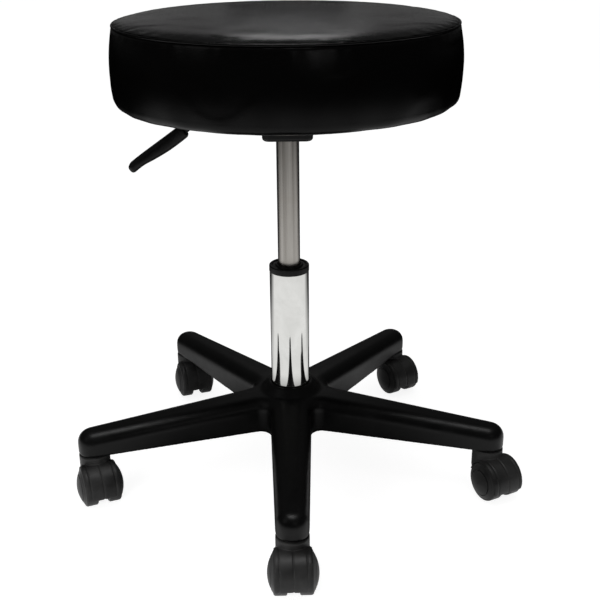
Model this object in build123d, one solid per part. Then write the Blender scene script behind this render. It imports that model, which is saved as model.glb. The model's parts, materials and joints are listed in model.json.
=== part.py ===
from build123d import *
import math
import os

# Adjustable swivel stool: a padded round seat on a gas spring column, with a five-arm base on
# twin-wheel casters. Millimetres. Z is the column axis, with Z = 0 on the floor. The front arm
# points along -Y and the lift lever along -X. The seat is at the top of its travel.

# Fits
running_clearance = 0.05      # radial, shaft turning or sliding in a bore
press_clearance = 0.02        # radial, pieces pushed together for good
soft_clearance = 0.3          # round foam and covers
small_gap = 0.1               # between faces that only just miss each other
pin_chamfer = 0.5

# Casters
caster_names = ["front", "right_front", "right_rear", "left_rear", "left_front"]
caster_headings = [-89.0, -63.0, -61.0, -71.0, -68.0]   # which way each one trails, from +X
caster_trail = 20.5           # stem axis to axle
wheel_diameter = 50.0
wheel_inner_face = 7.0        # from the caster's middle plane
wheel_tread_width = 15.5
wheel_dome_height = 6.5
wheel_bore_depth = 17.0
wheel_hub_radius = 8.5
wheel_rim_wall = 3.5
wheel_recess_depth = 9.0
wheel_inner_edge = 1.2
wheel_shoulder_radius = 3.0   # outer edge of the tread
wheel_ring_radius = 16.0      # ring groove on the outer face
wheel_ring_width = 1.2
wheel_ring_depth = 0.9
axle_diameter = 6.0
hood_web = 12.0
hood_width = 43.2
hood_wall = 1.6
hood_wheel_gap = 0.5
hood_shoulder_radius = 5.0
hood_lip = 0.4                # thickness left at the hood's open sides
hood_trailing_angle = -18.5   # lower edge of the hood, seen from the axle
hood_leading_angle = 166.0
hood_axle_boss_radius = 7.0
hood_groove_count = 3
hood_groove_spacing = 15.5
hood_groove_width = 1.8
hood_groove_depth = 0.7
neck_diameter = 38.5
neck_edge_radius = 2.0
neck_gap = 0.3                # under the stem's flange
stem_diameter = 11.0
stem_length = 22.0            # above the flange
stem_chamfer = 1.5
stem_flange_diameter = 24.0
stem_flange_thickness = 1.6
stem_pivot_diameter = 9.5
stem_pivot_length = 18.0
stem_socket_clearance = 0.1
stem_top_gap = 1.0
grip_groove_depth = 0.8
grip_groove_height = 3.0
grip_groove_offset = 5.0      # from the stem's top
grip_ring_gap = 60.0          # degrees left open in the ring

# Base
arm_bottom = 62.4
arm_end_height = 30.0         # depth of an arm at its stem
arm_root_height = 45.1        # depth of an arm where it leaves the hub
stem_circle_radius = 263.8
arm_end_radius = 19.2
arm_root_radius = 28.0        # half width of an arm, carried on to the column axis
arm_valley_radius = 14.0
arm_edge_radius = 16.0
base_wall = 3.5
hub_height = 56.0
hub_top_radius = 29.0
hub_foot_radius = 39.0
hub_core_radius = 33.0
hub_ring_radius = 30.0
hub_ring_height = 10.0
socket_boss_radius = 9.5
rib_thickness = 2.5
rib_recess = 2.0              # ribs stop short of the rim
rib_count = 6

# Column
tube_diameter = 50.0
tube_wall = 1.8
tube_bottom = 56.0
tube_length = 218.0
tube_taper_start = 2.0        # above the hub
tube_taper = 1.1              # degrees a side
tube_floor_thickness = 3.0
tube_floor_hole_radius = 7.0
collar_diameter = 50.8
collar_height = 8.0
collar_edge_radius = 2.0
bush_length = 70.0
bush_pocket_inner_radius = 17.0
bush_pocket_outer_radius = 20.5
bush_pocket_depth = 60.0

# Gas spring
stroke = 140.0
pressure_tube_diameter = 28.0
pressure_tube_wall = 1.5
pressure_tube_bottom = 232.0
pressure_tube_lip = 1.5
spring_taper = 0.74           # degrees a side, at the tube's upper end
rod_diameter = 10.0
rod_spigot_radius = 4.0
rod_groove_radius = 3.0
rod_tail = 6.0                # below the column tube
guide_height = 14.0
seal_height = 5.0
piston_height = 11.0
piston_gap = 0.5
piston_groove_height = 3.6
piston_groove_depth = 1.5
race_thickness = 2.0
race_radius = 14.0
ball_diameter = 3.5
ball_pitch_radius = 10.5
ball_count = 10
cage_width = 4.6
cage_thickness = 1.1
bumper_radius = 11.0
bumper_gap = 0.5              # left at the bottom of the stroke
tail_washer_radius = 10.0
tail_washer_thickness = 1.4
tail_clip_radius = 8.0
tail_clip_thickness = 1.2
tail_clip_opening = 5.0
valve_height = 25.0
valve_recess = 0.5
button_radius = 4.0
button_length = 22.0
button_edge_radius = 2.0
button_seat = 4.0             # valve bore left below the button

# Seat mechanism
housing_bottom = 445.0
housing_height = 44.0
housing_width = 60.6
housing_depth = 60.0
housing_wall = 2.5
housing_corner_radius = 9.0
housing_edge_radius = 4.0
plate_size = 152.0
plate_thickness = 2.5
plate_corner_radius = 16.0
bolt_spacing = 127.0
bolt_diameter = 6.0
bolt_hole_clearance = 0.3
bolt_head_flats = 10.0
bolt_head_height = 4.0
washer_radius = 6.5
washer_thickness = 1.2
socket_radius = 18.0
socket_height = 23.0
tube_above_socket = 4.0

# Lever
lever_diameter = 8.0
lever_pivot_offset = 21.0     # from the column axis
lever_pivot_drop = 11.0       # below the mounting plate
lever_tip_overhang = 6.0      # past the column axis
lever_bend_offset = 100.5
lever_bend_drop = 19.0
lever_bend_radius = 22.0
lever_slope = 34.7            # degrees below level, past the bend
lever_gap = 0.3               # above the release button
lever_eye_radius = 6.2
lever_eye_width = 8.0
lever_pin_diameter = 5.0
lever_slot_width = 10.0
lever_slot_height = 17.5
handle_start = 27.0           # from the bend
handle_length = 84.0
handle_root_height = 16.8
handle_root_length = 29.0
handle_root_width = 17.0
handle_waist_height = 12.0
handle_waist_place = 64.0
handle_top_fall = 2.2         # the upper side comes nearer the rod towards the tip
handle_tip_height = 12.4
handle_tip_width = 25.0
handle_tip_radius = 4.0
handle_edge_radius = 3.0
handle_grip_depth = 60.0      # how far the rod runs inside

# Seat
seat_radius = 205.4
seat_foot_radius = 203.6      # above the rounded lower edge
seat_seam_radius = 200.6
seat_lower_edge = 11.0
seat_widest_height = 40.0     # above the seat's underside
seat_seam_height = 89.6
seat_shoulder_radius = 176.0
seat_shoulder_height = 96.6
seat_shoulder_fullness = 0.3  # nearer 0 for a squarer shoulder
seat_crown_height = 98.2
cover_thickness = 1.2
cover_hem_inner_radius = 178.0
piping_radius = 1.5
board_thickness = 12.0
board_radius = 196.0
board_edge_radius = 5.0
dust_cover_thickness = 0.5
tee_nut_radius = 9.5
tee_nut_flange = 1.2
tee_nut_barrel_radius = 3.9
tee_nut_barrel_length = 10.0
staple_count = 28
staple_length = 11.0
staple_wire = 1.0
staple_inset = 6.0            # from the hem's inner edge

# Derived places
hub_top = arm_bottom + hub_height
tube_top = tube_bottom + tube_length
tube_radius = tube_diameter / 2
tube_bore_radius = tube_radius - tube_wall
taper_height = hub_top + tube_taper_start
spring_radius = pressure_tube_diameter / 2
spring_bore_radius = spring_radius - pressure_tube_wall
rod_radius = rod_diameter / 2
lower_race_bottom = tube_bottom + tube_floor_thickness
ball_height = lower_race_bottom + race_thickness + ball_diameter / 2
upper_race_bottom = ball_height + ball_diameter / 2
bumper_bottom = upper_race_bottom + race_thickness
guide_bottom = pressure_tube_bottom + pressure_tube_lip
seal_bottom = guide_bottom + guide_height
piston_bottom = seal_bottom + seal_height + piston_gap
socket_top = housing_bottom + socket_height
pressure_tube_top = socket_top + tube_above_socket
plate_bottom = housing_bottom + housing_height
plate_top = plate_bottom + plate_thickness
board_bottom = plate_top + dust_cover_thickness
board_top = board_bottom + board_thickness
seat_bottom = board_bottom - cover_thickness
wheel_radius = wheel_diameter / 2
wheel_outer_face = wheel_inner_face + wheel_tread_width
hood_bore_radius = wheel_radius + hood_wheel_gap
hood_radius = hood_bore_radius + hood_wall
flange_bottom = arm_bottom - stem_flange_thickness
neck_top = flange_bottom - neck_gap
lever_radius = lever_diameter / 2
lever_incline = math.atan2(lever_bend_drop - lever_pivot_drop, lever_bend_offset - lever_pivot_offset)
lever_pivot_height = plate_bottom - lever_pivot_drop
lever_rise = math.tan(lever_incline)
lever_underside = lever_pivot_offset * lever_rise - lever_radius / math.cos(lever_incline)
button_top = lever_pivot_height + lever_underside - lever_gap
button_bottom = button_top - button_length


upright = (Align.CENTER, Align.CENTER, Align.MIN)       # stands on the given place
from_middle = (Align.MIN, Align.CENTER, Align.MIN)      # runs out from it along +X


def turned(*points):
    """A solid of revolution about Z, from (radius, height) points."""
    return revolve(make_face(Plane.XZ * Polyline(*points, close=True)), Axis.Z)


def turned_outline(*edges):
    """The same, from lines and arcs drawn in the XZ plane."""
    return revolve(make_face(Plane.XZ * (Curve() + list(edges))), Axis.Z)


def dome_arc(rim_radius, rim_height, apex_height):
    """Arc from a rim to an apex on Z, centred on Z so that it turns into part of a ball."""
    rise = apex_height - rim_height
    ball_radius = (rim_radius ** 2 + rise ** 2) / (2 * rise)
    half_height = apex_height - ball_radius + math.sqrt(ball_radius ** 2 - (rim_radius / 2) ** 2)
    return ThreePointArc((rim_radius, rim_height), (rim_radius / 2, half_height), (0, apex_height))


def ring(outer_radius, inner_radius, bottom, height):
    top = bottom + height
    return turned((inner_radius, bottom), (outer_radius, bottom), (outer_radius, top), (inner_radius, top))


def rod(radius, bottom, height):
    return Pos(0, 0, bottom) * Cylinder(radius, height, align=upright)


def around(count, radius, shape):
    """Copies of a shape, spaced evenly about Z."""
    step = 360 / count
    return [Rot(0, 0, step * k) * Pos(radius, 0, 0) * shape for k in range(count)]


def save(shape, node):
    export_step(shape, "parts/" + node + ".step")


def caster_places():
    """One (name, stem place, heading) for each arm, the front arm first."""
    step = 360 / len(caster_names)
    for k, name in enumerate(caster_names):
        angle = math.radians(step * k - 90)
        place = Pos(stem_circle_radius * math.cos(angle), stem_circle_radius * math.sin(angle), 0)
        yield name, place, caster_headings[k]


# Casters, each drawn with its stem on Z, trailing along +X


def on_axle(shape, side):
    """Turns a piece drawn about Z to lie on the axle, facing outwards on the given side."""
    return Pos(caster_trail, 0, wheel_radius) * Rot(-90 * side, 0, 0) * shape


def caster_wheel(side):
    """Moulded wheel with a domed outer face, open on its inner side round a hub."""
    rim = wheel_radius - wheel_shoulder_radius
    shoulder = wheel_outer_face - wheel_shoulder_radius
    halfway = wheel_shoulder_radius / math.sqrt(2)
    edge = (rim + halfway, shoulder + halfway)
    apex = wheel_outer_face + wheel_dome_height
    bore = axle_diameter / 2 + running_clearance
    bore_end = wheel_inner_face + wheel_bore_depth
    recess_end = wheel_inner_face + wheel_recess_depth
    recess_radius = wheel_radius - wheel_rim_wall
    body = turned_outline(
        Polyline(
            (0, apex),
            (0, bore_end),
            (bore, bore_end),
            (bore, wheel_inner_face),
            (wheel_hub_radius, wheel_inner_face),
            (wheel_hub_radius, recess_end),
            (recess_radius, recess_end),
            (recess_radius, wheel_inner_face),
            (wheel_radius - wheel_inner_edge, wheel_inner_face),
            (wheel_radius, wheel_inner_face + wheel_inner_edge),
            (wheel_radius, shoulder),
        ),
        ThreePointArc((wheel_radius, shoulder), edge, (rim, wheel_outer_face)),
        dome_arc(rim, wheel_outer_face, apex),
    )
    ring_outer = wheel_ring_radius + wheel_ring_width
    ring_height = apex - wheel_dome_height * (ring_outer / rim) ** 2
    groove = ring(ring_outer, wheel_ring_radius, ring_height - wheel_ring_depth, wheel_dome_height)
    return on_axle(body - groove, side)


def caster_axle():
    length = 2 * (wheel_inner_face + wheel_bore_depth - running_clearance)
    pin = Cylinder(axle_diameter / 2, length)
    pin = chamfer(pin.edges(), pin_chamfer)
    return on_axle(pin, 1)


def rim_point(angle, radius):
    """A point in the caster's middle plane, seen from the axle."""
    turn = math.radians(angle)
    return (caster_trail + radius * math.cos(turn), wheel_radius + radius * math.sin(turn))


def hood_barrel():
    """The hood's outer skin about the axle: a drum whose rounded shoulders end in a thin lip."""
    shoulder_sweep = math.acos(1 - (hood_wall - hood_lip) / hood_shoulder_radius)
    shoulder_start = hood_width / 2 - hood_shoulder_radius * math.sin(shoulder_sweep)

    def shoulder_point(sweep, side):
        drop = hood_shoulder_radius * (1 - math.cos(sweep))
        return (hood_radius - drop, side * (shoulder_start + hood_shoulder_radius * math.sin(sweep)))

    low = [shoulder_point(shoulder_sweep * share, -1) for share in (1, 0.5, 0)]
    high = [shoulder_point(shoulder_sweep * share, 1) for share in (0, 0.5, 1)]
    barrel = turned_outline(
        Polyline((0, hood_width / 2), (0, -hood_width / 2), low[0]),
        ThreePointArc(*low),
        Line(low[2], high[0]),
        ThreePointArc(*high),
        Line(high[2], (0, hood_width / 2)),
    )
    groove_bottom = hood_radius - hood_groove_depth
    for k in range(hood_groove_count):
        middle = (k - (hood_groove_count - 1) / 2) * hood_groove_spacing
        start = middle - hood_groove_width / 2
        barrel = barrel - ring(hood_radius + small_gap, groove_bottom, start, hood_groove_width)
    return barrel


def caster_hood():
    """Fender over both wheels, with the web that carries the axle and the neck that takes the stem."""
    neck = rod(neck_diameter / 2, wheel_radius, neck_top - wheel_radius)
    neck = fillet(neck.edges().sort_by(Axis.Z)[-1], neck_edge_radius)
    hood = on_axle(hood_barrel(), 1) + neck
    reach = 2 * hood_radius
    trailing = rim_point(hood_trailing_angle, hood_radius)
    leading = rim_point(hood_leading_angle, hood_radius)
    slope = (leading[1] - trailing[1]) / (leading[0] - trailing[0])
    far = (trailing[0] + reach, trailing[1] + slope * reach)
    near = (leading[0] - reach, leading[1] - slope * reach)
    below = make_face(Plane.XZ * Polyline(near, far, (far[0], -reach), (near[0], -reach), close=True))
    hood = hood - extrude(below, reach, both=True)
    hood = hood + on_axle(Cylinder(hood_axle_boss_radius, hood_web), 1)
    space_width = neck_diameter + hood_width
    space = rod(hood_bore_radius, hood_web / 2, space_width)
    for side in (-1, 1):
        hood = hood - on_axle(space, side)
    hood = hood - on_axle(Cylinder(axle_diameter / 2 + press_clearance, space_width), 1)
    pivot_bottom = flange_bottom - stem_pivot_length - small_gap
    return hood - rod(stem_pivot_diameter / 2 + running_clearance, pivot_bottom, neck_top)


def caster_stem():
    """Steel stem: fixed in the arm above its flange, with the hood turning on its lower end."""
    radius = stem_diameter / 2
    top = arm_bottom + stem_length
    groove_top = top - grip_groove_offset
    groove_bottom = groove_top - grip_groove_height
    groove_radius = radius - grip_groove_depth
    return turned(
        (0, flange_bottom - stem_pivot_length),
        (stem_pivot_diameter / 2, flange_bottom - stem_pivot_length),
        (stem_pivot_diameter / 2, flange_bottom),
        (stem_flange_diameter / 2, flange_bottom),
        (stem_flange_diameter / 2, arm_bottom),
        (radius, arm_bottom),
        (radius, groove_bottom),
        (groove_radius, groove_bottom),
        (groove_radius, groove_top),
        (radius, groove_top),
        (radius, top - stem_chamfer),
        (radius - stem_chamfer, top),
        (0, top),
    )


def grip_ring():
    """Split spring ring in the stem's groove."""
    inner = stem_diameter / 2 - grip_groove_depth + press_clearance
    outer = stem_diameter / 2 + stem_socket_clearance - press_clearance
    bottom = arm_bottom + stem_length - grip_groove_offset - grip_groove_height + small_gap
    height = grip_groove_height - 2 * small_gap
    middle = (inner + outer) / 2
    section = Plane.XZ * Pos(middle, bottom + height / 2) * Rectangle(outer - inner, height)
    return Rot(0, 0, grip_ring_gap / 2) * revolve(section, Axis.Z, 360 - grip_ring_gap)


# Base


def arm_top(radius):
    """Height of the arms' upper face, falling evenly from the hub's foot to the stem."""
    run = (stem_circle_radius - radius) / (stem_circle_radius - hub_foot_radius)
    return arm_bottom + arm_end_height + (arm_root_height - arm_end_height) * run


def star_outline(inset):
    """Plan of the base: five tapered arms with round ends and rounded valleys."""
    root = Circle(arm_root_radius - inset).edges()
    end = (Pos(stem_circle_radius, 0) * Circle(arm_end_radius - inset)).edges()
    arm = make_hull(root + end)
    star = Sketch()
    for copy in around(len(caster_names), 0, arm):
        star = star + copy
    star = Rot(0, 0, -90) * star
    valleys = [v for v in star.vertices() if Vector(v).length < stem_circle_radius / 2]
    return fillet(valleys, arm_valley_radius + inset)


def star_block(inset, bottom):
    """The base as a solid with rounded upper edges, its skin moved inwards by the inset."""
    reach = stem_circle_radius + 2 * arm_end_radius
    lid = turned(
        (0, bottom),
        (reach, bottom),
        (reach, arm_top(reach) - inset),
        (hub_foot_radius, arm_top(hub_foot_radius) - inset),
        (hub_top_radius - inset, hub_top - inset),
        (0, hub_top - inset),
    )
    column = Pos(0, 0, bottom) * extrude(star_outline(inset), hub_top)
    block = column & lid
    upper = block.edges().filter_by(lambda edge: edge.bounding_box().min.Z > bottom + base_wall)
    rims = upper.filter_by(lambda edge: math.hypot((edge @ 0.5).X, (edge @ 0.5).Y) > hub_foot_radius)
    return fillet(rims.filter_by(lambda edge: edge.geom_type != GeomType.LINE), arm_edge_radius - inset)


def star_ribs():
    """A rib along each arm and ribs across it, as high as the cavity and clipped to it later."""
    height = hub_height
    bottom = arm_bottom + rib_recess
    ribs = Pos(0, 0, bottom) * Box(stem_circle_radius, rib_thickness, height, align=from_middle)
    first = hub_core_radius
    last = stem_circle_radius - socket_boss_radius
    spacing = (last - first) / (rib_count + 1)
    for k in range(rib_count):
        place = Pos(first + spacing * (k + 1), 0, bottom)
        ribs = ribs + place * Box(rib_thickness, 2 * arm_root_radius, height, align=upright)
    return Rot(0, 0, -90) * ribs


def column_radius(height):
    """Outer radius of the column tube, which tapers where it sits in the hub."""
    return tube_radius - max(0, taper_height - height) * math.tan(math.radians(tube_taper))


def hub_bore(bottom, top):
    return turned(
        (0, bottom),
        (column_radius(bottom) + press_clearance, bottom),
        (column_radius(top) + press_clearance, top),
        (0, top),
    )


def star_base():
    """Moulded base: a skin open from below, with ribs, a solid hub and a boss round each stem."""
    cavity = star_block(base_wall, arm_bottom - base_wall)
    cavity = cavity - rod(hub_core_radius, 0, hub_top)
    ribs = star_ribs()
    boss = rod(socket_boss_radius, 0, hub_top)
    socket_bottom = arm_bottom - base_wall
    socket_depth = base_wall + stem_length + stem_top_gap
    socket = rod(stem_diameter / 2 + stem_socket_clearance, socket_bottom, socket_depth)
    for copy in around(len(caster_names), 0, ribs):
        cavity = cavity - copy
    base = star_block(0, arm_bottom)
    for name, place, heading in caster_places():
        cavity = cavity - place * boss
    base = base - cavity
    for name, place, heading in caster_places():
        base = base - place * socket
    base = base - hub_bore(arm_bottom, hub_top)
    return base - rod(hub_ring_radius, arm_bottom, hub_ring_height)


def hub_ring():
    """Steel ring let into the underside of the hub, taking the column's taper."""
    body = rod(hub_ring_radius - press_clearance, arm_bottom, hub_ring_height - press_clearance)
    return body - hub_bore(arm_bottom, hub_top)


# Column


def outer_tube():
    bottom_radius = column_radius(tube_bottom)
    return turned(
        (tube_floor_hole_radius, tube_bottom),
        (bottom_radius, tube_bottom),
        (tube_radius, taper_height),
        (tube_radius, tube_top),
        (tube_bore_radius, tube_top),
        (tube_bore_radius, taper_height),
        (bottom_radius - tube_wall, lower_race_bottom),
        (tube_floor_hole_radius, lower_race_bottom),
    )


def guide_bush():
    """Plastic bush in the top of the column tube, with the collar that caps it."""
    sleeve_radius = tube_bore_radius - press_clearance
    bore = spring_radius + running_clearance
    sleeve_bottom = tube_top - bush_length
    collar = rod(collar_diameter / 2, tube_top, collar_height)
    collar = fillet(collar.edges().sort_by(Axis.Z)[-1], collar_edge_radius)
    body = collar + rod(sleeve_radius, sleeve_bottom, bush_length)
    pocket = ring(bush_pocket_outer_radius, bush_pocket_inner_radius, sleeve_bottom, bush_pocket_depth)
    return body - pocket - rod(bore, sleeve_bottom, bush_length + collar_height)


# Gas spring


def piston_rod():
    """Rod with a spigot for the piston at its top and one for the bearing and clip at its foot."""
    clip_top = tube_bottom - small_gap - tail_washer_thickness
    clip_bottom = clip_top - tail_clip_thickness - small_gap
    tail = tube_bottom - rod_tail
    return turned(
        (0, tail),
        (rod_spigot_radius, tail),
        (rod_spigot_radius, clip_bottom),
        (rod_groove_radius, clip_bottom),
        (rod_groove_radius, clip_top),
        (rod_spigot_radius, clip_top),
        (rod_spigot_radius, bumper_bottom),
        (rod_radius, bumper_bottom),
        (rod_radius, piston_bottom),
        (rod_spigot_radius, piston_bottom),
        (rod_spigot_radius, piston_bottom + piston_height),
        (0, piston_bottom + piston_height),
    )


def piston():
    outer = spring_bore_radius - running_clearance
    body = ring(outer, rod_spigot_radius + press_clearance, piston_bottom, piston_height)
    groove_bottom = piston_bottom + (piston_height - piston_groove_height) / 2
    return body - ring(outer, outer - piston_groove_depth, groove_bottom, piston_groove_height)


def bearing_race(bottom, bore_clearance):
    return ring(race_radius, rod_spigot_radius + bore_clearance, bottom, race_thickness)


def bearing_balls():
    ball = Sphere(ball_diameter / 2 - press_clearance)
    balls = around(ball_count, ball_pitch_radius, ball)
    return Compound(children=[Pos(0, 0, ball_height) * copy for copy in balls])


def ball_cage():
    inner = ball_pitch_radius - cage_width / 2
    cage = ring(inner + cage_width, inner, ball_height - cage_thickness / 2, cage_thickness)
    pocket = rod(ball_diameter / 2 + running_clearance, ball_height - cage_thickness, 2 * cage_thickness)
    for copy in around(ball_count, ball_pitch_radius, pocket):
        cage = cage - copy
    return cage


def rubber_bumper():
    top = pressure_tube_bottom - stroke - bumper_gap
    return ring(bumper_radius, rod_radius + press_clearance, bumper_bottom, top - bumper_bottom)


def tail_washer():
    bottom = tube_bottom - small_gap - tail_washer_thickness
    return ring(tail_washer_radius, rod_spigot_radius + press_clearance, bottom, tail_washer_thickness)


def tail_clip():
    """Clip pushed sideways into the rod's groove, open on one side."""
    bottom = tube_bottom - small_gap - tail_washer_thickness - tail_clip_thickness
    clip = ring(tail_clip_radius, rod_groove_radius + press_clearance, bottom, tail_clip_thickness)
    opening = Box(tail_clip_radius, tail_clip_opening, tail_clip_thickness, align=from_middle)
    return clip - Pos(0, 0, bottom) * opening


def spring_taper_radius(height):
    """Outer radius of the pressure tube, which tapers from the housing's underside up."""
    return spring_radius - max(0, height - housing_bottom) * math.tan(math.radians(spring_taper))


def pressure_tube():
    top_radius = spring_taper_radius(pressure_tube_top)
    lip_radius = spring_bore_radius - pressure_tube_lip
    return turned(
        (lip_radius, pressure_tube_bottom),
        (spring_radius, pressure_tube_bottom),
        (spring_radius, housing_bottom),
        (top_radius, pressure_tube_top),
        (top_radius - pressure_tube_wall, pressure_tube_top),
        (spring_bore_radius, housing_bottom),
        (spring_bore_radius, guide_bottom),
        (lip_radius, guide_bottom),
    )


def spring_end_piece(bottom, height):
    """A ring that fills the pressure tube's bore and lets the rod slide."""
    return ring(spring_bore_radius - press_clearance, rod_radius + running_clearance, bottom, height)


def valve_body():
    top = pressure_tube_top - valve_recess
    bottom = top - valve_height
    inset = pressure_tube_wall + press_clearance
    body = turned(
        (0, bottom),
        (spring_taper_radius(bottom) - inset, bottom),
        (spring_taper_radius(top) - inset, top),
        (0, top),
    )
    return body - rod(button_radius + running_clearance, button_bottom - button_seat, button_length)


def release_button():
    button = rod(button_radius, button_bottom, button_length)
    return fillet(button.edges().sort_by(Axis.Z)[-1], button_edge_radius)


# Seat mechanism


def bolt_places():
    half = bolt_spacing / 2
    return [Pos(x, y, 0) for x in (-half, half) for y in (-half, half)]


def mechanism_plate():
    plan = RectangleRounded(plate_size, plate_size, plate_corner_radius)
    plate = Pos(0, 0, plate_bottom) * extrude(plan, plate_thickness)
    for place in bolt_places():
        hole = rod(bolt_diameter / 2 + bolt_hole_clearance, plate_bottom, plate_thickness)
        plate = plate - place * hole
    return plate


def mechanism_housing():
    """Pressed steel box welded under the plate, with holes for the socket, lever and pin."""
    outer = extrude(RectangleRounded(housing_width, housing_depth, housing_corner_radius), housing_height)
    outer = fillet(outer.faces().sort_by(Axis.Z)[0].edges(), housing_edge_radius)
    inner_plan = RectangleRounded(
        housing_width - 2 * housing_wall,
        housing_depth - 2 * housing_wall,
        housing_corner_radius - housing_wall,
    )
    inner = Pos(0, 0, housing_wall) * extrude(inner_plan, housing_height)
    housing = Pos(0, 0, housing_bottom) * (outer - inner)
    housing = housing - rod(socket_radius + press_clearance, housing_bottom, housing_wall)
    slot = Pos(0, 0, plate_bottom - lever_slot_height) * Box(
        housing_width, lever_slot_width, lever_slot_height, align=from_middle
    )
    housing = housing - Rot(0, 0, 180) * slot
    pin_hole = Cylinder(lever_pin_diameter / 2 + press_clearance, 2 * housing_depth)
    return housing - lever_pin_place() * pin_hole


def cone_socket():
    """Tapered steel socket that grips the pressure tube's upper end."""
    return turned(
        (spring_taper_radius(housing_bottom) + press_clearance, housing_bottom),
        (socket_radius, housing_bottom),
        (socket_radius, socket_top),
        (spring_taper_radius(socket_top) + press_clearance, socket_top),
    )


def lever_pin_place():
    return Pos(-lever_pivot_offset, 0, lever_pivot_height) * Rot(90, 0, 0)


def lever_pin():
    pin = Cylinder(lever_pin_diameter / 2, housing_depth + housing_wall)
    return lever_pin_place() * chamfer(pin.edges(), pin_chamfer)


def plate_bolts():
    head = extrude(RegularPolygon(bolt_head_flats / 2, 6, major_radius=False), bolt_head_height)
    head = Pos(0, 0, plate_bottom - washer_thickness - bolt_head_height) * head
    shank_bottom = plate_bottom - washer_thickness
    bolt = head + rod(bolt_diameter / 2, shank_bottom, board_top - shank_bottom)
    return Compound(children=[place * bolt for place in bolt_places()])


def bolt_washers():
    bore = bolt_diameter / 2 + bolt_hole_clearance
    washer = ring(washer_radius, bore, plate_bottom - washer_thickness, washer_thickness)
    return Compound(children=[place * washer for place in bolt_places()])


def tee_nuts():
    """Nuts pressed into the board from above."""
    bore = bolt_diameter / 2 + press_clearance
    nut = ring(tee_nut_radius, bore, board_top, tee_nut_flange)
    nut = nut + ring(tee_nut_barrel_radius, bore, board_top - tee_nut_barrel_length, tee_nut_barrel_length)
    return Compound(children=[place * nut for place in bolt_places()])


# Lever


def lever_point(offset):
    """A point on the straight run of the lever between its tip and its bend."""
    rise = (lever_pivot_offset - offset) * lever_rise
    return (-offset, 0, lever_pivot_height + rise)


def handle_plane():
    """Origin at the handle's inner end, X out along the handle, Y up across it."""
    slope = math.radians(lever_slope)
    bend = Vector(*lever_point(lever_bend_offset))
    out = Vector(-math.cos(slope), 0, -math.sin(slope))
    return Plane(bend + out * handle_start, x_dir=out, z_dir=(0, 1, 0))


def lever_rod():
    tip = lever_point(-lever_tip_overhang)
    end = handle_plane().from_local_coords((handle_grip_depth, 0, 0))
    path = FilletPolyline(tip, lever_point(lever_bend_offset), end, radius=lever_bend_radius)
    section = Plane(tip, z_dir=path % 0) * Circle(lever_radius)
    eye = lever_pin_place() * Cylinder(lever_eye_radius, lever_eye_width)
    bore = lever_pin_place() * Cylinder(lever_pin_diameter / 2 + running_clearance, 2 * lever_eye_width)
    return sweep(section, path) + eye - bore


def handle_profile():
    """Side of the handle: level on top, a shallow waist underneath before the tip."""
    root_low = -handle_root_height / 2
    root_top = handle_root_height / 2
    tip_top = root_top - handle_top_fall
    waist_low = root_top - handle_top_fall * handle_waist_place / handle_length - handle_waist_height
    tip_low = tip_top - handle_tip_height
    belly = (handle_root_length, root_low)
    waist = (handle_waist_place, waist_low)
    underside = Spline((0, root_low), belly, waist, (handle_length, tip_low))
    rest = Polyline((handle_length, tip_low), (handle_length, tip_top), (0, root_top), (0, root_low))
    profile = make_face(Curve() + [underside, rest])
    return fillet(profile.vertices().sort_by(Axis.X)[-2:], handle_tip_radius)


def handle_plan():
    """Plan of the handle: square cut at its root, widening to a round tip."""
    root = Pos(handle_root_width / 2, 0) * Rectangle(handle_root_width, handle_root_width)
    tip = Pos(handle_length - handle_tip_width / 2, 0) * Circle(handle_tip_width / 2)
    return make_hull(root.edges() + tip.edges())


def lever_handle():
    """Moulded paddle on the end of the lever's rod."""
    plane = handle_plane()
    plan_plane = Plane(plane.origin, x_dir=plane.x_dir, z_dir=plane.y_dir)
    body = extrude(plane * handle_profile(), handle_tip_width, both=True)
    body = body & extrude(plan_plane * handle_plan(), handle_length, both=True)
    body = fillet(body.edges(), handle_edge_radius)
    bore = rod(lever_radius + press_clearance, -handle_start, handle_grip_depth + handle_start)
    return body - Plane(plane.origin, z_dir=plane.x_dir) * bore


# Seat


def side_outline(inset):
    """Side of the seat from its underside up to the seam, moved inwards by the inset."""
    lower = seat_bottom + seat_lower_edge
    start = (seat_foot_radius - seat_lower_edge, seat_bottom + inset)
    foot = (seat_foot_radius - inset, lower)
    widest = (seat_radius - inset, seat_bottom + seat_widest_height)
    seam = (seat_seam_radius - inset, seat_bottom + seat_seam_height)
    corner = seat_lower_edge - inset
    knee = corner * math.sqrt(0.5)
    middle = (start[0] + knee, lower - knee)
    return start, [ThreePointArc(start, middle, foot), ThreePointArc(foot, widest, seam)], seam


def top_outline(inset):
    """Upper face of the seat from the seam to the axis, moved inwards by the inset."""
    seam = (seat_seam_radius - inset, seat_bottom + seat_seam_height)
    shoulder = (seat_shoulder_radius, seat_bottom + seat_shoulder_height - inset)
    crown = (0, seat_bottom + seat_crown_height - inset)
    knee_radius = seam[0] - (seam[0] - shoulder[0]) * seat_shoulder_fullness
    knee = (knee_radius, shoulder[1] - (shoulder[1] - seam[1]) * seat_shoulder_fullness)
    return seam, [ThreePointArc(seam, knee, shoulder), dome_arc(*shoulder, crown[1])], crown


def seat_solid(inset):
    """The whole upholstered volume, moved inwards by the inset."""
    start, side, seam = side_outline(inset)
    seam, top, crown = top_outline(inset)
    floor = Polyline(crown, (0, start[1]), start)
    return turned_outline(*side, *top, floor)


def seat_slice(shape, bottom, top):
    """The part of a seat solid between two heights."""
    width = 4 * seat_radius
    return shape & Pos(0, 0, bottom) * Box(width, width, top - bottom, align=upright)


def seat_piping(radius):
    """Ring of piping that lies against the foam in the seam."""
    bead_radius = seat_seam_radius - cover_thickness + piping_radius
    bead = Plane.XZ * Pos(bead_radius, seat_bottom + seat_seam_height) * Circle(radius)
    return revolve(bead, Axis.Z)


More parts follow.
